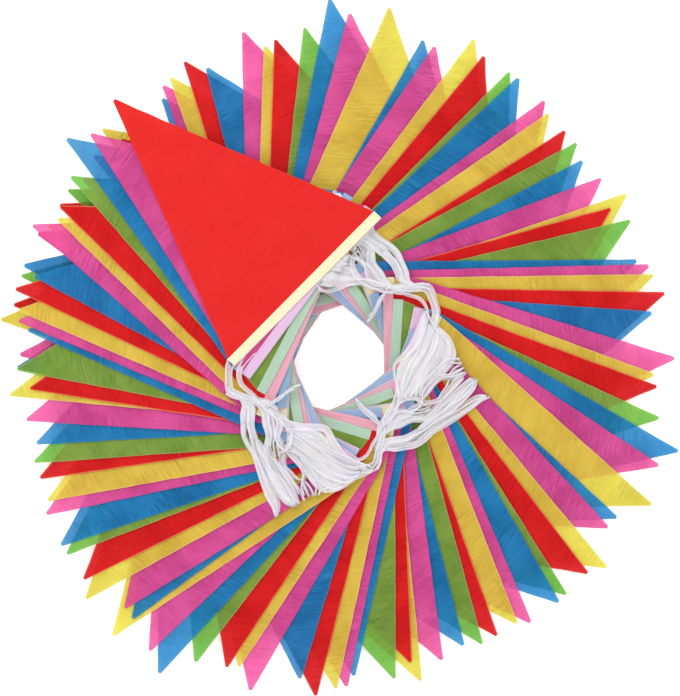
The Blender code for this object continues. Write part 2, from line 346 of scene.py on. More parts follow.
@dataclass(frozen=True)
class ClothFinish:
    """Thin crisp nylon: fine crosswise crinkles whose light and shade is painted into the colour, soft blotches, and a
    thin band along the cut edge, paler on yellow, green and red and a painted shadow line on pink and blue.
    """

    name: str
    colour: tuple
    # The darker colour that the painted crinkle shade and the blotches reach
    crinkle_shade_and_blotch: tuple
    tint: tuple
    cover: float
    # The colour of the thin band along the cut edges: darker on pink and blue, a painted shadow line; paler on yellow,
    # green and red
    edge: tuple

    # Spots a metre across and along, and the depth in the noise
    CRINKLES, BLOTCHES, BURSTS, SLUBS = (55.0, 430.0, 0.0), (26.0, 34.0, 3.7), (30.0, 24.0, 9.1), (900.0, 900.0, 5.5)
    THREADS = 9000.0
    RIM_WIDTH, RIM_SHARE = 0.0013, 0.80
    RELIEF_HEIGHT, RELIEF_SHARE = 0.0016, 0.55

    def material(self) -> bpy.types.Material:
        """The material of one dye of cloth."""
        graph = Graph(f"nylon_{self.name}")
        across, along, inset = graph.cloth_place()
        crinkle = graph.mottle(across, along, self.CRINKLES, 3.0)
        blotch = graph.mottle(across, along, self.BLOTCHES, 2.0)
        weave = graph.maths("SINE", along * self.THREADS) * graph.maths("SINE", across * self.THREADS)
        burst = graph.clamped((graph.mottle(across, along, self.BURSTS, 1.0) - 0.50) * 6.0)
        slub = graph.mottle(across, along, self.SLUBS, 1.0)
        crinkle = 0.5 + (crinkle - 0.5) * (0.7 + burst * 1.3)
        # Painted shade: the crinkles lighten and darken the colour as light on their relief would; blotches and slubs
        # make it uneven
        shade = graph.clamped((crinkle - 0.5) * 1.6 + (blotch - 0.5) * 2.2 + (slub - 0.5) * 0.7 + 0.48)
        # The band along the cut edges: a painted shadow line on pink and blue, a paler line on yellow, green and red
        edge_band_and_shadow_line = graph.clamped(1.0 - inset / self.RIM_WIDTH) * self.RIM_SHARE
        body = graph.mixed(shade, (*self.colour, 1.0), (*self.crinkle_shade_and_blotch, 1.0))
        colour = graph.mixed(edge_band_and_shadow_line, body, (*self.edge, 1.0))
        relief = graph.bump(crinkle + blotch * 1.6 + weave * 0.04, self.RELIEF_HEIGHT, self.RELIEF_SHARE)
        return graph.finish(self.cover, self.tint, Base_Color=colour, Roughness=0.52 + blotch * 0.15,
                            Normal=relief, Specular_IOR_Level=0.15)


@dataclass(frozen=True)
class TapeFinish:
    """Soft white tape with fine ribs along it, and stitches where it binds a pennant."""

    name: str
    colour: tuple
    shadow: tuple
    cover: float
    stitched: bool

    CLOUDS = (45.0, 420.0, 1.3)
    RIBS = 9000.0
    FOLD_AT, FOLD_SOFTNESS, FOLD_WHITE = 0.0088, 0.0006, (0.96, 0.95, 0.98, 1.0)
    STITCH_INSET, STITCH_HALF, STITCH_LENGTH, STITCH_GAP = 0.0013, 0.00035, 0.0030, 0.35
    STITCH_GREY = (0.60, 0.60, 0.64, 1.0)
    RELIEF_HEIGHT, RELIEF_SHARE = 0.0010, 0.5

    def material(self) -> bpy.types.Material:
        """The material of the tape."""
        graph = Graph(f"tape_{self.name}")
        along, across, inset = graph.cloth_place()
        cloudy = graph.mottle(along, across, self.CLOUDS, 3.0)
        ribs = graph.maths("SINE", across * self.RIBS)
        shade = graph.clamped((cloudy - 0.45) * 2.2)
        colour = graph.mixed(shade, (*self.colour, 1.0), (*self.shadow, 1.0))
        height = cloudy + ribs * 0.10
        if self.stitched:
            fold = graph.clamped((inset - self.FOLD_AT) / self.FOLD_SOFTNESS)
            colour = graph.mixed(fold * 0.45, colour, self.FOLD_WHITE)
            beside = graph.clamped(1.0 - graph.maths("ABSOLUTE", inset - self.STITCH_INSET) / self.STITCH_HALF)
            dash = graph.maths("GREATER_THAN", graph.maths("FRACT", along / self.STITCH_LENGTH), self.STITCH_GAP)
            stitch = beside * dash
            height = height + stitch * 0.6
            colour = graph.mixed(stitch * 0.25, colour, self.STITCH_GREY)
        return graph.finish(self.cover, (1.0, 1.0, 1.0), Base_Color=colour, Roughness=0.48 + cloudy * 0.2,
                            Normal=graph.bump(height, self.RELIEF_HEIGHT, self.RELIEF_SHARE),
                            Specular_IOR_Level=0.4)


# Each dye: its colour, the darker colour of its painted crinkle shade and blotches, the tint between the threads, its
# cover, and its edge band, which is a painted shadow line on pink and blue
CLOTHS = (
    ClothFinish("yellow", (0.90, 0.64, 0.088), (0.70, 0.46, 0.052), (0.50, 0.86, 0.22), 0.73, (1.0, 0.60, 0.28)),
    ClothFinish("blue", (0.024, 0.275, 0.66), (0.008, 0.165, 0.44), (0.20, 0.46, 0.60), 0.64, (0.05, 0.28, 0.56)),
    ClothFinish("pink", (0.88, 0.105, 0.38), (0.63, 0.055, 0.25), (0.80, 0.36, 0.56), 0.73, (0.66, 0.06, 0.32)),
    ClothFinish("red", (0.74, 0.009, 0.010), (0.56, 0.002, 0.004), (0.40, 0.11, 0.16), 0.86, (0.98, 0.28, 0.11)),
    ClothFinish("green", (0.30, 0.47, 0.078), (0.19, 0.34, 0.045), (0.10, 0.70, 0.18), 0.66, (0.62, 0.48, 0.18)),
    ClothFinish("top_red", (0.75, 0.019, 0.015), (0.71, 0.014, 0.011), (1.0, 0.10, 0.08), 0.97, (0.77, 0.03, 0.02)),
)
TAPES = (
    TapeFinish("over_yellow", (0.92, 0.84, 0.56), (0.86, 0.76, 0.48), 0.84, True),
    TapeFinish("over_blue", (0.36, 0.51, 0.74), (0.30, 0.44, 0.67), 0.84, True),
    TapeFinish("over_pink", (0.85, 0.58, 0.84), (0.78, 0.50, 0.77), 0.84, True),
    TapeFinish("over_red", (0.90, 0.43, 0.54), (0.82, 0.35, 0.46), 0.84, True),
    TapeFinish("over_green", (0.50, 0.69, 0.53), (0.42, 0.61, 0.46), 0.84, True),
    TapeFinish("over_top_red", (0.95, 0.87, 0.58), (0.92, 0.78, 0.47), 0.94, True),
    TapeFinish("free", (0.98, 0.97, 1.0), (0.82, 0.79, 0.92), 0.62, False),
)


class ClothMesh:
    """A mesh of cloth or tape, each point of which keeps its place on the flat piece."""

    def __init__(self) -> None:
        """Starts empty."""
        self.mesh = bmesh.new()
        self.grain = self.mesh.verts.layers.float_vector.new("grain")

    def fill_grid(self, columns: int, rows: int, place: Callable, slot: int) -> None:
        """Adds a grid of faces and moves its points into place.

        Args:
            columns: faces across.
            rows: faces along.
            place: gives points and places on the cloth for grid positions from -1 to 1.
            slot: the material slot of the new faces.
        """
        known = set(self.mesh.faces)
        verts = bmesh.ops.create_grid(self.mesh, x_segments=columns, y_segments=rows, size=1.0)["verts"]
        flat = np.array([vert.co[:2] for vert in verts])
        points, places = place(flat[:, 0], flat[:, 1])
        for vert, point, spot in zip(verts, points, places):
            vert.co = point
            vert[self.grain] = spot
        for face in self.mesh.faces:
            if face not in known:
                face.material_index = slot
                face.smooth = True


# ---- The pile


@dataclass
class Pennant:
    """One pennant of cloth with its bound heading."""

    number: int
    dye: Dye
    axis: float
    heading: Vector
    drop: float
    tip_angle: float
    layer: int = 0
    lie: float = LOWER_LIE
    middle: float = 0.0
    node: str = ""
    columns: int = 30
    rows: int = 46
    tape_rows: int = 8

    # What a pennant's own cloth adds to the lie of the pile, in metres and in waves a metre
    SEED_STEP, PATTERN_STEP, PILE_BELOW = 7.31, 0.37, 3
    SWAY, SWAYS, EDGES_APART = 0.0005, 70.0, 5.0
    DIMPLE, DIMPLES_ALONG, DIMPLES_ACROSS = 0.00022, 45.0, 55.0
    LIFT, LIFT_WIDTH, LIFT_FROM, LIFT_MEAN, LIFT_CHANGE = 0.0009, 0.006, -0.002, 0.5, 0.6
    CURL, CURL_LENGTH, CURL_BIAS, CURL_SPOT = 0.004, 0.024, 0.35, (1.7, 2.9)
    # How far the bound tape stands off the cloth's edge and faces, and its width against the heading
    TAPE_EDGE, TAPE_FACE, TAPE_SHARE = 0.0002, 0.00020, 1.004

    @property
    def name(self) -> str:
        """The piece's name."""
        return f"flag_{self.number:02d}_{self.dye.value}"

    def half_width(self, along: Array) -> Array:
        """Half the cloth's width at distances from its heading, in metres."""
        share = np.clip(along / self.drop, 0.0, 1.0)
        return (HEADING + (TIP_WIDTH - HEADING) * share) / 2

    def corners(self) -> list[Vector]:
        """The outline's corners in plan: the heading's two and the tip's two, about the hub."""
        along, across = direction(self.axis), direction(self.axis + 90)
        back = self.heading - along * TAPE_WIDTH
        tip = self.heading + along * self.drop
        return [back - across * HEADING / 2, back + across * HEADING / 2,
                tip + across * TIP_WIDTH / 2, tip - across * TIP_WIDTH / 2]

    def margin(self, place: Vector) -> float:
        """How far a place about the hub lies outside the outline, or inside if negative."""
        along, across = direction(self.axis), direction(self.axis + 90)
        offset = place.xy.to_3d() - self.heading
        reach, side = offset.dot(along), abs(offset.dot(across))
        flank = math.atan2((HEADING - TIP_WIDTH) / 2, self.drop)
        beside = (side - HEADING / 2) * math.cos(flank) + reach * math.sin(flank)
        return max(-TAPE_WIDTH - reach, reach - self.drop, side - HEADING / 2, beside)

    def margins(self, plan: Array) -> Array:
        """The margins of places in plan."""
        return np.array([self.margin(Vector((x, y, 0.0))) for x, y in plan])

    def lay(self, across: Array, along: Array, relief: "Relief") -> Array:
        """Where points of the cloth lie.

        Args:
            across: shares of the half width, from -1 on the anticlockwise side to 1.
            along: distances from the heading towards the tip, in metres.
            relief: how the pile lies.

        Returns:
            The points in the row frame, one a line.
        """
        half = self.half_width(along)
        seed = self.number * self.SEED_STEP
        sway = noise_at(seed, along * self.SWAYS, self.EDGES_APART * np.sign(across))
        side = across * half + self.SWAY * sway * np.abs(across) ** 4 * (along > 0)
        run, cross = direction(self.axis), direction(self.axis + 90)
        plan = np.array(self.heading)[:2] + np.outer(along, np.array(run)[:2]) + np.outer(side, np.array(cross)[:2])
        height = relief.height(plan, self.layer, self.middle) + self.lie
        height += relief.wave(plan, height)
        own = noise_at(seed + along * self.DIMPLES_ALONG, across * half * self.DIMPLES_ACROSS, seed)
        height += self.DIMPLE * own
        edge = (across + 1) * half
        lift = self.LIFT * np.exp(-edge / self.LIFT_WIDTH) * (self.LIFT_MEAN + self.LIFT_CHANGE * own)
        height += lift * (along > self.LIFT_FROM)
        curl = noise.noise((seed, *self.CURL_SPOT)) + self.CURL_BIAS
        height += max(curl, 0.0) * self.CURL * np.clip(1 - (self.drop - along) / self.CURL_LENGTH, 0, 1) ** 2
        height = np.maximum(height, FLOOR_LIE)
        return np.column_stack([plan + relief.hub, height])

    def build(self, relief: "Relief", finishes: dict) -> bpy.types.Object:
        """Builds the cloth and its folded tape.

        Args:
            relief: how the pile lies.
            finishes: materials by dye or name.

        Returns:
            The piece, riding on the body.
        """
        cloth = ClothMesh()
        offset = self.number * self.PATTERN_STEP

        def place_cloth(u: Array, v: Array) -> tuple[Array, Array]:
            """The cloth's points and their places on it."""
            along = -CLOTH_UNDER_TAPE + (v + 1) / 2 * (self.drop + CLOTH_UNDER_TAPE)
            half = self.half_width(along)
            inset = (1 - np.abs(u)) * half
            return (self.lay(u, along, relief),
                    np.column_stack([u * half + offset, along, np.maximum(inset, 0.0)]))

        def place_tape(u: Array, v: Array) -> tuple[Array, Array]:
            """The tape's points: over the cloth, round its edge and back under it."""
            back = -TAPE_WIDTH * (1 - np.abs(v)) ** 0.5 + self.TAPE_EDGE
            points = self.lay(u * self.TAPE_SHARE, back, relief)
            points[:, 2] += self.TAPE_FACE * np.sign(v) * np.minimum(np.abs(v) * 3, 1.0)
            points[:, 2] = np.maximum(points[:, 2], FLOOR_LIE / 2)
            inset = np.abs(back - self.TAPE_EDGE)
            return points, np.column_stack([u * HEADING / 2 + offset, back + TAPE_WIDTH, inset])

        cloth.fill_grid(self.columns, self.rows, place_cloth, 0)
        cloth.fill_grid(self.columns, self.tape_rows, place_tape, 1)
        piece = new_piece(self.name, cloth.mesh, [finishes[self.cloth], finishes[f"over_{self.cloth}"]])
        area = (HEADING + TIP_WIDTH) / 2 * self.drop + HEADING * (CLOTH_UNDER_TAPE + 2 * TAPE_WIDTH)
        self.lies_on()
        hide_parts(self.node)
        return piece

    def lies_on(self) -> list[str]:
        """The names of the pennants under it."""
        below = [f"flag_{n:02d}" for n in range(max(self.number - self.PILE_BELOW, 0), self.number)]
        return [other.name for other in bpy.data.objects if other.name[:7] in below]

    @property
    def cloth(self) -> str:
        """The name of the cloth's finish."""
        return self.dye.value


class TopPennant(Pennant):
    """The last pennant, which lies flat on top of all the others, with a cream heading."""

    @property
    def cloth(self) -> str:
        """The name of the cloth's finish."""
        return f"top_{self.dye.value}"


@dataclass
class StartPennant(Pennant):
    """A pennant from the start of the string, flat on the floor under the rest, so that only its tip shows."""

    pile: "PileTop | None" = None
    rise: float = 0.00009
    gap: float = 0.00006

    @property
    def name(self) -> str:
        """The piece's name."""
        return f"start_{self.number:02d}_{self.dye.value}"

    def lay(self, across: Array, along: Array, relief: "Relief") -> Array:
        """Where points of the cloth lie: as low as the cloth above leaves room for."""
        points = super().lay(across, along, relief)
        above = np.array([self.pile.underside(x, y) for x, y in points[:, :2]])
        points[:, 2] = np.maximum(np.minimum(FLOOR_LIE + self.rise * self.number, above - self.gap), self.gap)
        return points

    def lies_on(self) -> list[str]:
        """The names of the pennants under it."""
        return []


def lay_out_start(pile: "PileTop") -> list[StartPennant]:
    """The pennants of the first run that the last run hides, but for their tips."""
    fan = FANS[0]
    laid = []
    for row in ROWS[1:fan.first_row]:
        lag = math.radians(lean_at(row.turn))
        drop = min(DROP, row.reach / 1000 * math.cos(lag) - NEAREST_HEADING)
        tip = direction(START_TURN + row.turn) * row.reach / 1000 + Vector((START_RIGHT, 0.0, 0.0)) / 1000
        axis = START_TURN + row.turn - lean_at(row.turn) + row.swing
        laid.append(StartPennant(len(laid), row.dye, axis, tip - direction(axis) * drop, drop,
                                 START_TURN + row.turn, node=frame_node(0), pile=pile))
    return laid


def frame_node(number: int) -> str:
    """The name of the solid that holds one pennant of the string."""
    return next(name for name in frame["nodes"] if name.startswith(f"pennant_{number:02d}_"))


def lay_out() -> list[Pennant]:
    """All the pennants in string order, from the lowest to the topmost, about the hub."""
    laid: list[Pennant] = []
    for fan in FANS:
        shift = Vector((fan.right, fan.up, 0.0)) / 1000
        for number, row in enumerate(ROWS[fan.first_row:], start=fan.first_row):
            round_hub, round_tip = SWUNG.get(len(laid), (0.0, 0.0))
            lead = round_hub + (fan.lead if number == fan.first_row else 0.0)
            turned = Matrix.Rotation(math.radians(-fan.turn - lead), 3, "Z")
            own_tip = FIRST_TIP + row.turn
            own_axis = own_tip - lean_at(row.turn)
            reach, lag = row.reach / 1000, math.radians(own_tip - own_axis)
            start = max(reach * math.cos(lag) - DROP, NEAREST_HEADING) + DRAWN_BACK.get(number, 0.0) / 1000
            drop = reach * math.cos(lag) - start
            own_end = direction(own_axis) * (start + drop) + direction(own_axis + 90) * reach * math.sin(lag)
            axis = own_axis + row.swing + round_tip
            heading = turned @ (own_end - direction(axis) * drop) + shift
            expected = FIRST_TIP + row.turn + fan.turn + lead
            laid.append(Pennant(len(laid), row.dye, axis + fan.turn + lead, heading, drop,
                                nearest_turn(angle_of(turned @ own_end + shift), expected)))
    heading = direction(TOP_AXIS) * TOP_HEADING + direction(TOP_AXIS + 90) * TOP_SIDE
    tip = heading + direction(TOP_AXIS) * DROP
    laid.append(TopPennant(len(laid), Dye.RED, TOP_AXIS, heading, DROP, nearest_turn(angle_of(tip), TOP_AXIS)))
    return laid


def layer_up(pennants: list[Pennant]) -> None:
    """Gives each pennant its solid, its layer in the pile and its place in that layer."""
    last = len(pennants) - 1
    groups = [[0]] + [[first, first + 1] for first in range(1, last, 2)] + [[last]]
    names = {tuple(int(word) for word in name.split("_") if word.isdigit()): name for name in frame["nodes"]
             if name.startswith("pennant")}
    for layer, group in enumerate(groups):
        middle = sum(pennants[number].tip_angle for number in group) / len(group)
        for place, number in enumerate(group):
            pennant = pennants[number]
            pennant.layer, pennant.middle, pennant.node = layer, middle, names[tuple(group)]
            pennant.lie = UPPER_LIE if place else LOWER_LIE


class Relief:
    """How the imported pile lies, as one smooth field that all its layers share.

    The solids of the pile are copies of one shape, each a pitch above the last. The field holds how
    far that shape has sunk at each angle and distance about the hub, so that thin sheets made from it
    nest without touching.
    """

    FIRST_ANGLE, LAST_ANGLE, ANGLE_STEP = -220.0, 460.0, 3.0
    FIRST_RADIUS, LAST_RADIUS, RADIUS_STEP = 0.018, 0.366, 0.006
    REACH_EACH_WAY = 105.0
    SPREAD_ROUNDS = 140
    BLUR_REACH, BLUR_STEPS = 4, 1.5
    WITHIN_LAST = 1.001
    SWELL, SWELLS, SWELL_DEPTH, SWELL_FULL = 0.0011, 26.0, 0.5, 0.014

    def __init__(self, pennants: list[Pennant]) -> None:
        """Reads the field from the solids.

        Args:
            pennants: all the pennants, each with its layer and solid.
        """
        top = pennants[-1]
        corners = top.corners()
        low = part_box(top.node)[0]
        self.hub = np.array([low.x - min(c.x for c in corners), low.y - min(c.y for c in corners)])
        self.angles = np.arange(self.FIRST_ANGLE, self.LAST_ANGLE, self.ANGLE_STEP)
        self.radii = np.arange(self.FIRST_RADIUS, self.LAST_RADIUS, self.RADIUS_STEP)
        total = np.zeros((len(self.angles), len(self.radii)))
        count = np.zeros_like(total)
        for node in sorted({pennant.node for pennant in pennants}):
            owner = next(pennant for pennant in pennants if pennant.node == node)
            self.read(owner, total, count)
        self.sunk = self.smoothed(self.filled(total, count))

    def read(self, owner: Pennant, total: Array, count: Array) -> None:
        """Adds what one solid says about the field.

        Args:
            owner: a pennant of that solid.
            total: sums of the field's values, changed in place.
            count: how many were added, changed in place.
        """
        data = frame["nodes"][owner.node].data
        tree = BVHTree.FromPolygons([vert.co.copy() for vert in data.vertices],
                                    [tuple(face.vertices) for face in data.polygons])
        for i, angle in enumerate(self.angles):
            if abs(angle - owner.middle) > self.REACH_EACH_WAY:
                continue
            ray = direction(angle)
            for j, radius in enumerate(self.radii):
                x, y = self.hub[0] + ray.x * radius, self.hub[1] + ray.y * radius
                under = plumb(tree, x, y, rising=True)
                if under is None:
                    continue
                over = plumb(tree, x, y, rising=False)
                total[i, j] += owner.layer - ((under.z + over.z) / 2 - SOLID_MIDDLE) / PITCH
                count[i, j] += 1

    def filled(self, total: Array, count: Array) -> Array:
        """The mean values, spread into the places that no solid covers."""
        known = count > 0
        field_ = np.where(known, total / np.maximum(count, 1), 0.0)
        weight = known.astype(float)
        for _ in range(self.SPREAD_ROUNDS):
            values, shares = np.zeros_like(field_), np.zeros_like(field_)
            for shift, axis in ((1, 0), (-1, 0), (1, 1), (-1, 1)):
                values += np.roll(field_ * weight, shift, axis)
                shares += np.roll(weight, shift, axis)
            reached = ~known & (shares > 0)
            field_[reached] = values[reached] / shares[reached]
            weight[reached] = 1.0
        return field_

    def smoothed(self, values: Array) -> Array:
        """The field, blurred over a few steps each way."""
        reach = self.BLUR_REACH
        kernel = np.exp(-0.5 * (np.arange(-reach, reach + 1) / self.BLUR_STEPS) ** 2)
        kernel /= kernel.sum()
        for axis in (0, 1):
            pad = [(reach, reach) if number == axis else (0, 0) for number in (0, 1)]
            wide = np.pad(values, pad, mode="edge")
            values = np.apply_along_axis(np.convolve, axis, wide, kernel, mode="valid")
        return values

    def height(self, plan: Array, layer: int, middle: float) -> Array:
        """The underside of a layer at places in plan about the hub, in metres."""
        radius = np.hypot(plan[:, 0], plan[:, 1])
        angle = nearest_turn(np.degrees(np.arctan2(plan[:, 0], plan[:, 1])), middle)
        i = np.clip((angle - self.FIRST_ANGLE) / self.ANGLE_STEP, 0, len(self.angles) - self.WITHIN_LAST)
        j = np.clip((radius - self.FIRST_RADIUS) / self.RADIUS_STEP, 0, len(self.radii) - self.WITHIN_LAST)
        a, b = i.astype(int), j.astype(int)
        p, q = i - a, j - b
        sunk = (self.sunk[a, b] * (1 - p) * (1 - q) + self.sunk[a + 1, b] * p * (1 - q)
                + self.sunk[a, b + 1] * (1 - p) * q + self.sunk[a + 1, b + 1] * p * q)
        return PITCH * (layer - sunk)

    def wave(self, plan: Array, height: Array) -> Array:
        """The soft waves that all layers share, which die out at the floor."""
        swell = noise_at(plan[:, 0] * self.SWELLS, plan[:, 1] * self.SWELLS, self.SWELL_DEPTH)
        return self.SWELL * swell * np.clip(height / self.SWELL_FULL, 0.0, 1.0)


# ---- The free tape

# What brings the noise to about 1 each way, and the fewest stations that are built as a ribbon
NOISE_GAIN = 1.6
SHORTEST_RUN = 7


class Strand(NamedTuple):
    """Ribbons along a line: how many, how far apart, how crumpled, how high, and the line's x and y in turn, in mm."""

    ribbons: int
    spread: float
    crumple: float
    lift: float
    line: tuple


class Sheaf(NamedTuple):
    """Strands that make up one piece of a bunch."""

    name: str
    strands: tuple


SHEAVES = (
    Sheaf("end", (
        Strand(1, 0.5, 0.88, 1.2, (82, 9, 87, 19, 91, 28, 94, 37, 91, 47, 85, 60, 77, 62, 66, 61, 51, 61)),
        Strand(1, 0.5, 0.94, 1.6, (84, 14, 89, 27, 90, 38, 86, 50, 80, 58, 70, 58, 58, 58)),
        Strand(1, 0.5, 0.86, 1.6, (72, -4, 76, 8, 80, 22, 82, 37, 75, 49, 60, 54, 49, 58)),
    )),
    Sheaf("outer", (
        Strand(2, 1.2, 0.62, 0.4, (80, 61, 70, 61, 63, 66, 61, 75, 57, 84, 53, 93, 46, 100, 37, 106, 27, 116, 17, 127,
            6, 138, -3, 145, -8, 154)),
        Strand(1, 1.0, 0.66, 0.9, (76, 60, 66, 60, 60, 66, 57, 74, 53, 82, 47, 89, 41, 96, 33, 104, 24, 114, 14, 124,
            3, 134, -4, 142, -8, 153)),
        Strand(2, 1.4, 0.6, 1.3, (74, 62, 64, 62, 57, 67, 54, 74, 50, 83, 43, 91, 35, 100, 24, 108, 16, 116, 5, 124,
            -5, 131, -14, 136, -20, 138)),
        Strand(2, 1.6, 0.56, 1.6, (39, 93, 30, 101, 21, 109, 12, 116, 2, 123, -8, 130, -17, 134, -21, 138)),
    )),
    Sheaf("middle", (
        Strand(3, 1.5, 0.66, 0.8, (58, 59, 49, 60, 42, 66, 38, 74, 31, 83, 29, 91, 27, 100, 20, 107, 10, 114, -1, 121,
            -12, 129, -22, 136)),
        Strand(1, 0.8, 0.7, 1.1, (55, 58, 47, 59, 40, 65, 34, 73, 28, 81, 26, 88, 26, 99, 17, 105, 7, 111, -3, 118,
            -12, 124, -20, 130, -24, 133)),
        Strand(1, 0.8, 0.66, 1.4, (52, 57, 44, 58, 36, 64, 30, 72, 25, 80, 18, 85, 12, 92, 9, 101, 3, 108, -6, 114,
            -16, 119, -22, 123, -27, 128)),
        Strand(1, 0.6, 0.7, 1.3, (29, 85, 27, 93, 22, 100, 15, 105, 7, 109, -2, 114, -11, 119, -21, 125)),
    )),
    Sheaf("lattice", (
        Strand(1, 0.3, 0.98, 1.0, (26, 80, 24, 88, 20, 96, 15, 102)),
        Strand(1, 0.3, 0.98, 1.2, (22, 82, 20, 89, 16, 96, 11, 101)),
        Strand(1, 0.4, 0.92, 1.6, (19, 84, 13, 89, 8, 91, 0, 95, -9, 99, -15, 104, -17, 111, -20, 118, -26, 124)),
        Strand(1, 0.4, 0.94, 1.9, (14, 87, 6, 88, -3, 90, -11, 95, -15, 100, -17, 107, -20, 114, -29, 122)),
        Strand(1, 0.5, 0.86, 2.2, (7, 87, -3, 87, -12, 91, -19, 96, -28, 101, -33, 106, -36, 113, -36, 119)),
        Strand(1, 0.3, 1.0, 1.2, (6, 105, 0, 107, -7, 110, -14, 111, -18, 111)),
        Strand(1, 0.3, 0.96, 1.4, (-18, 112, -22, 115, -27, 120, -31, 123)),
        Strand(1, 0.3, 0.96, 1.7, (-19, 110, -25, 113, -30, 117, -33, 121)),
        Strand(1, 0.3, 0.96, 1.4, (-32, 108, -32, 113, -33, 117, -35, 121)),
    )),
    Sheaf("pleats", (
        Strand(1, 1.0, 0.3, 0.6, (6, 88, -3, 93, -11, 97, -22, 103, -34, 109, -43, 108)),
        Strand(2, 2.4, 0.2, 0.8, (9, 87, -8, 93, -20, 97, -35, 102, -47, 102, -55, 94)),
        Strand(2, 2.4, 0.25, 1.1, (11, 83, -7, 87, -23, 92, -40, 95, -55, 93, -62, 85)),
        Strand(2, 2.4, 0.2, 1.4, (13, 75, -6, 80, -23, 84, -38, 88, -53, 88, -64, 80)),
        Strand(2, 2.4, 0.25, 1.6, (18, 68, -4, 71, -21, 74, -37, 80, -53, 82, -65, 79)),
        Strand(1, 1.2, 0.25, 1.9, (41, 60, 19, 66, 0, 66, -16, 65, -33, 73, -51, 77, -71, 74)),
        Strand(1, 0.6, 0.6, 2.2, (44, 58, 25, 66, 7, 64, -15, 56, -28, 64, -41, 71, -59, 74, -77, 72)),
        Strand(1, 0.6, 0.62, 1.8, (-14, 98, -25, 104, -37, 109, -46, 106, -54, 99, -60, 88, -68, 79, -77, 72)),
    )),
    Sheaf("oval", (
        Strand(1, 0.3, 0.8, 2.2, (40, 61, 33, 63, 27, 67, 24, 74, 23, 81, 18, 87, 11, 89, 3, 88, -6, 90)),
        Strand(1, 0.3, 0.8, 2.4, (40, 59, 30, 61, 22, 66, 16, 70, 12, 76, 10, 84, 12, 91, 17, 98)),
    )),
    Sheaf("knot", (
        Strand(2, 1.2, 0.7, 1.6, (85, 63, 77, 63, 66, 61, 55, 61, 41, 60)),
        Strand(1, 1.2, 0.66, 2.0, (86, 58, 77, 61, 65, 59, 54, 57, 43, 56, 30, 59)),
        Strand(1, 1.0, 0.7, 2.3, (68, 57, 56, 57, 46, 60, 36, 63, 24, 66, 10, 67)),
    )),
    Sheaf("tail", (
        Strand(1, 0.3, 0.84, 2.0, (44, 60, 41, 53, 35, 43, 30, 34, 23, 26)),
        Strand(1, 0.3, 0.94, 2.3, (43, 57, 37, 49, 31, 38, 25, 31)),
    )),
)


class Waver(NamedTuple):
    """Unevenness along a ribbon: its size, its waves a metre and the row of noise that gives it."""

    size: float
    waves: float
    row: float


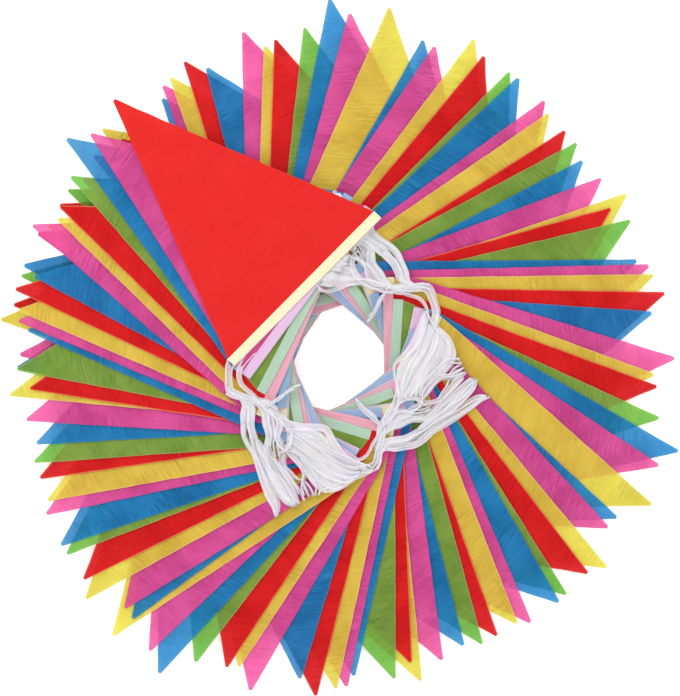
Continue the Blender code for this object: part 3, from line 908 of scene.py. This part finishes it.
@dataclass
class TapeBunch:
    """The free tape of one fan: thin crumpled ribbons that lie over each other in sheaves on top of the pile."""

    number: int
    fan: Fan
    pile: "PileTop"
    relief: Relief
    top: Pennant
    width: float = 0.0092
    strips: int = 8
    step: float = 0.0020
    line_stations: int = 160
    layer_rise: float = 0.00016
    least_stations: int = 8
    fold_stations: int = 4
    fold_start: float = 0.0006
    fold_length: float = 0.007
    fold_drop: float = 0.0005
    end_change: float = 0.004
    tuck: float = 0.004
    covered_margin: float = 0.002
    free_margin: float = 0.008
    free_rise: float = 0.006
    edge_margin: float = 0.0012
    top_gap: float = 0.0003
    pinch: float = 0.0055
    ground_around: int = 4

    SEED_STEPS = (11.3, 2.7, 0.9, 5.1)
    END_ROW, FOLD_SHARE, START_PINCH = 8.0, 0.6, 0.7
    DRIFT, HOVER, TWIST = Waver(0.5, 26.0, 1.0), Waver(1.0, 30.0, 30.0), Waver(1.0, 20.0, 90.0)
    BEND, PHASE = Waver(0.55, 24.0, 50.0), Waver(3.0, 14.0, 70.0)
    HOVER_HEIGHT, TWIST_SLOPE = 0.0006, 0.30
    BEND_MEAN, BEND_CRUMPLE, BEND_PINCH, LEAST_BEND, MOST_BEND = 0.35, 1.45, 0.8, 0.1, 2.1
    FLAT_MARGIN, FLAT_LENGTH = 0.001, 0.003

    def route(self, line: tuple) -> list[Vector]:
        """The points of a strand's line about the hub, in metres."""
        turned = Matrix.Rotation(math.radians(-self.fan.turn), 3, "Z")
        shift = Vector((self.fan.right, self.fan.up, 0.0)) / 1000
        return [turned @ Vector((x / 1000, y / 1000, 0.0)) + shift for x, y in zip(line[::2], line[1::2])]

    def build(self, finish: bpy.types.Material) -> None:
        """Builds every sheaf of the bunch in the tape's material."""
        for group, sheaf in enumerate(SHEAVES):
            tape = ClothMesh()
            length = 0.0
            for place, strand in enumerate(sheaf.strands):
                for ribbon in range(strand.ribbons):
                    seed = sum(n * step for n, step in zip((group, place, ribbon, self.number), self.SEED_STEPS))
                    share = (ribbon + 0.5) / strand.ribbons - 0.5
                    length += self.ribbon(tape, strand, share, ribbon, seed)
            if not tape.mesh.verts:
                tape.mesh.free()
                continue
            piece = new_piece(f"free_tape_{self.number}_{sheaf.name}", tape.mesh, [finish])
            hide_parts(f"tape_loops_{self.number}")

    def ribbon(self, tape: ClothMesh, strand: Strand, share: float, order: int, seed: float) -> float:
        """Adds one ribbon, which ends in a fold back under itself.

        Args:
            tape: what it is added to.
            strand: the strand that it belongs to.
            share: its place across the strand, from -0.5 to 0.5.
            order: its number in the strand, from the lowest up.
            seed: where its unevenness is read.

        Returns:
            The length that is built, in metres.
        """
        line = np.array(smooth_line(self.route(strand.line), self.line_stations))[:, :2]
        far = np.concatenate([[0.0], np.cumsum(np.hypot(*np.diff(line, axis=0).T))])
        end = far[-1] - self.end_change * (0.5 + noise.noise((seed, self.END_ROW, self.END_ROW)))
        out = np.linspace(0.0, end, max(round(end / self.step), self.least_stations))
        back = end - np.linspace(self.fold_start, self.fold_length, self.fold_stations)
        run = np.concatenate([out, back])
        under = np.concatenate([np.zeros(len(out)), np.linspace(self.FOLD_SHARE, 1.0, len(back))])
        slope = np.gradient(line, far, axis=0)
        along = np.column_stack([np.interp(run, far, slope[:, axis]) for axis in (0, 1)])
        along /= np.hypot(*along.T)[:, None]
        side = np.column_stack([along[:, 1], -along[:, 0]])
        centre = np.column_stack([np.interp(run, far, line[:, axis]) for axis in (0, 1)])
        drift = share + uneven(run, seed, self.DRIFT)
        centre += side * (drift * strand.spread / 1000)[:, None]

        margins = self.top.margins(centre)
        free = np.clip((margins - self.covered_margin) / (self.free_margin - self.covered_margin), 0.0, 1.0)
        ground = self.ground(centre, side)
        hover = self.HOVER_HEIGHT * (0.5 + uneven(run, seed, self.HOVER))
        heights = ground + strand.lift / 1000 + self.layer_rise * order + hover - self.fold_drop * under
        cap = self.cap(centre)
        pinch = np.exp(-((run - end) / self.pinch) ** 2) + self.START_PINCH * np.exp(-(run / self.pinch) ** 2)
        bend = (self.BEND_MEAN + self.BEND_CRUMPLE * strand.crumple + uneven(run, seed, self.BEND)
                + self.BEND_PINCH * pinch)
        bend = np.clip(bend, self.LEAST_BEND, self.MOST_BEND)
        bend = bend * np.clip((margins + self.FLAT_MARGIN) / self.FLAT_LENGTH, 0.0, 1.0)
        wide, rise = self.section(bend, uneven(run, seed, self.PHASE) + seed)
        rise += wide * (self.TWIST_SLOPE * free * uneven(run, seed, self.TWIST))[:, None]
        under_top = np.minimum(heights, cap + free * self.free_rise - (1 - free) * rise.max(axis=1))
        heights = np.where(free < 1.0, under_top, heights)

        length = 0.0
        for first, last in clear_runs(margins > -self.tuck):
            part = slice(first, last)
            points = centre[part, None, :] + side[part, None, :] * wide[part, :, None]
            across = np.broadcast_to(np.linspace(-1.0, 1.0, self.strips + 1), wide[part].shape)
            tops = self.below_top(points, heights[part, None] + rise[part], margins[part])
            length += self.lay_ribbon(tape, points, tops, across, run[part] + seed)
        return length

    def below_top(self, points: Array, heights: Array, margins: Array) -> Array:
        """Heights of a ribbon's points, kept under the top pennant where they reach its outline."""
        kept = heights.copy()
        for station in np.flatnonzero(margins < self.width):
            near = self.top.margins(points[station]) < self.edge_margin
            kept[station] = np.where(near, np.minimum(kept[station], self.cap(points[station])), kept[station])
        return kept

    def cap(self, plan: Array) -> Array:
        """How high the tape may lie at places in plan under the top pennant."""
        return self.relief.height(plan, self.top.layer, self.top.middle) - self.top_gap

    def section(self, bend: Array, phase: Array) -> tuple[Array, Array]:
        """The ribbon's crumpled cross-section: a wave that can fold over itself, at its true width.

        Args:
            bend: the steepest slope at each station, in radians.
            phase: where the wave starts.

        Returns:
            For each station and each point across, how far to the side and how high it lies.
        """
        middles = (np.arange(self.strips) + 0.5) / self.strips * 2 * math.pi
        slopes = bend[:, None] * np.cos(middles[None, :] + phase[:, None])
        strip = self.width / self.strips
        start = np.zeros((len(bend), 1))
        wide = np.concatenate([start, np.cumsum(np.cos(slopes) * strip, axis=1)], axis=1)
        rise = np.concatenate([start, np.cumsum(np.sin(slopes) * strip, axis=1)], axis=1)
        return wide - wide.mean(axis=1)[:, None], rise - rise.min(axis=1)[:, None]

    def ground(self, centre: Array, side: Array) -> Array:
        """The height that a ribbon rests on along its line, smoothed from its highest spots."""
        reach = self.width / 3
        found = np.array([[self.pile.height(place + over * reach * away, self.relief.hub) for away in (-1, 0, 1)]
                          for place, over in zip(centre, side)]).max(axis=1)
        wide = np.pad(found, self.ground_around, mode="edge")
        window = 2 * self.ground_around + 1
        highest = np.array([wide[n:n + window].max() for n in range(len(found))])
        mean = np.convolve(wide, np.ones(window) / window, mode="valid")
        return (highest + mean) / 2

    def lay_ribbon(self, tape: ClothMesh, plan: Array, heights: Array, across: Array,
                   run: Array) -> float:
        """Adds one clear stretch of a ribbon.

        Args:
            tape: what it is added to.
            plan: the points in plan about the hub, by station and place across.
            heights: their heights.
            across: their places across, from -1 to 1.
            run: the distance along the tape at each station.

        Returns:
            The stretch's length in metres.
        """
        stations = len(run)

        def place(u: Array, v: Array) -> tuple[Array, Array]:
            """The ribbon's points and their places on it."""
            i = np.rint((v + 1) / 2 * (stations - 1)).astype(int)
            j = np.rint((u + 1) / 2 * self.strips).astype(int)
            spots = plan[i, j] + self.relief.hub
            inset = (1 - np.abs(across[i, j])) * self.width / 2
            return (np.column_stack([spots, np.maximum(heights[i, j], FLOOR_LIE)]),
                    np.column_stack([run[i], across[i, j] * self.width / 2, inset]))

        tape.fill_grid(self.strips, stations - 1, place, 0)
        return float(np.abs(np.diff(run)).sum())


def uneven(run: Array, seed: float, waver: Waver) -> Array:
    """Smooth unevenness, between about its size each way, at distances along a ribbon."""
    return waver.size * (noise_at(seed, run * waver.waves, waver.row) * NOISE_GAIN)


def clear_runs(clear: Array) -> list[tuple[int, int]]:
    """The first and last numbers of the stretches that are clear and long enough to build."""
    runs, first = [], None
    for number, here in enumerate([*clear, False]):
        if here and first is None:
            first = number
        elif not here and first is not None:
            if number - first >= SHORTEST_RUN:
                runs.append((first, number))
            first = None
    return runs


class PileTop:
    """The highest cloth at each place."""

    def __init__(self, pieces: list[bpy.types.Object]) -> None:
        """Gathers the surfaces of the cloth."""
        points, faces = [], []
        for piece in pieces:
            first = len(points)
            points += [vert.co.copy() for vert in piece.data.vertices]
            faces += [tuple(first + corner for corner in face.vertices) for face in piece.data.polygons]
        self.tree = BVHTree.FromPolygons(points, faces)

    def height(self, place: Array, hub: Array) -> float:
        """The height of the topmost cloth at a place about the hub, or the floor's."""
        hit = plumb(self.tree, place[0] + hub[0], place[1] + hub[1], rising=False)
        return 0.0 if hit is None else hit.z

    def underside(self, x: float, y: float) -> float:
        """The height of the lowest cloth over a place in the row frame, or a metre where none is."""
        hit = plumb(self.tree, x, y, rising=True)
        return 1.0 if hit is None else hit.z


# ---- Shared modelling


def smooth_line(points: list[Vector], count: int) -> list[Vector]:
    """Points at even shares along a smooth curve through a few others.

    Args:
        points: the points that the curve passes.
        count: how many points to give.

    Returns:
        The new points.
    """
    ends = [points[0] * 2 - points[1], *points, points[-1] * 2 - points[-2]]
    line = []
    for number in range(count):
        at = number / (count - 1) * (len(points) - 1)
        span = min(int(at), len(points) - 2)
        t = at - span
        a, b, c, d = ends[span:span + 4]
        line.append(0.5 * (2 * b + (c - a) * t + (2 * a - 5 * b + 4 * c - d) * t * t
                           + (3 * b - a - 3 * c + d) * t ** 3))
    return line


def new_object(name: str, data: bpy.types.ID) -> bpy.types.Object:
    """Puts an object with its data into the scene."""
    made = bpy.data.objects.new(name, data)
    bpy.context.scene.collection.objects.link(made)
    return made


def new_mesh(name: str, mesh: bmesh.types.BMesh, materials: list) -> bpy.types.Object:
    """Makes an object of a finished bmesh, which is freed."""
    data = bpy.data.meshes.new(name)
    mesh.to_mesh(data)
    mesh.free()
    for material in materials:
        data.materials.append(material)
    return new_object(name, data)


def new_piece(name: str, mesh: bmesh.types.BMesh, materials: list) -> bpy.types.Object:
    """Makes a piece of a finished bmesh, lets it ride on the body and reports it."""
    piece = new_mesh(name, mesh, materials)
    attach(piece, BODY)
    LOG.info("%s", name)
    return piece


# ---- The studio


@dataclass
class Studio:
    """The camera straight above, soft lights and a white floor."""

    height: float = 4.0
    floor_size: float = 24.0
    sensor: float = 36.0
    sight: float = 50.0
    hub: tuple = (-0.0021, -0.0027)
    surround: float = 1.05
    lamp_power: float = 17.0
    lamp_size: float = 1.2
    lamp_place: tuple = (-1.3, 1.5, 1.9)
    floor_glow: float = 0.38

    def build_camera(self) -> None:
        """Places the camera over the middle of the photograph's frame."""
        x = self.hub[0] + (IMAGE_WIDTH / 2 - HUB_PIXEL[0]) * PIXEL
        y = self.hub[1] - (IMAGE_HEIGHT / 2 - HUB_PIXEL[1]) * PIXEL
        data = bpy.data.cameras.new("camera")
        data.sensor_width = self.sensor
        data.lens = self.sensor * self.height / (IMAGE_HEIGHT * PIXEL)
        data.clip_end = self.sight
        camera = new_object("camera", data)
        camera.location = (x, y, self.height)
        bpy.context.scene.camera = camera

    def build_lights(self) -> None:
        """Adds an even white surround and one large soft lamp from the upper left."""
        scene = bpy.context.scene
        scene.view_settings.view_transform = "Standard"
        world = bpy.data.worlds.new("studio")
        world.use_nodes = True
        backdrop = world.node_tree.nodes["Background"].inputs
        backdrop["Color"].default_value = (1.0, 1.0, 1.0, 1.0)
        backdrop["Strength"].default_value = self.surround
        scene.world = world
        lamp = bpy.data.lights.new("key", "AREA")
        lamp.energy = self.lamp_power
        lamp.size = self.lamp_size
        key = new_object("key", lamp)
        key.location = self.lamp_place
        key.rotation_euler = (-Vector(key.location)).to_track_quat("-Z", "Y").to_euler()

    def build_floor(self) -> None:
        """Adds the white floor."""
        mesh = bmesh.new()
        bmesh.ops.create_grid(mesh, x_segments=1, y_segments=1, size=self.floor_size / 2)
        graph = Graph("floor_white")
        mottle = graph.speckle(graph.add("ShaderNodeTexCoord", output="Object"))
        colour = graph.mixed(mottle, (0.96, 0.96, 0.96, 1.0), (0.97, 0.97, 0.97, 1.0))
        graph.add_output(graph.add("ShaderNodeBsdfPrincipled", inputs={
            "Base Color": colour, "Roughness": 0.9, "Emission Color": colour, "Emission Strength": self.floor_glow}))
        floor = new_mesh("floor", mesh, [graph.material])


def main() -> None:
    """Builds the studio, the pennants and the free tape."""
    logging.basicConfig(level=logging.INFO, format="%(message)s")
    studio = Studio()
    studio.build_camera()
    studio.build_lights()
    studio.build_floor()
    finishes = {cloth.name: cloth.material() for cloth in CLOTHS}
    finishes |= {tape.name: tape.material() for tape in TAPES}
    pennants = lay_out()
    layer_up(pennants)
    relief = Relief(pennants)
    LOG.info("hub at %s", relief.hub)
    flags = [pennant.build(relief, finishes) for pennant in pennants]
    pile = PileTop(flags[:-1])
    for pennant in lay_out_start(pile):
        pennant.build(relief, finishes)
    for number, fan in enumerate(FANS[1:], start=1):
        TapeBunch(number, fan, pile, relief, pennants[-1]).build(finishes["free"])


if __name__ == "__main__":
    main()
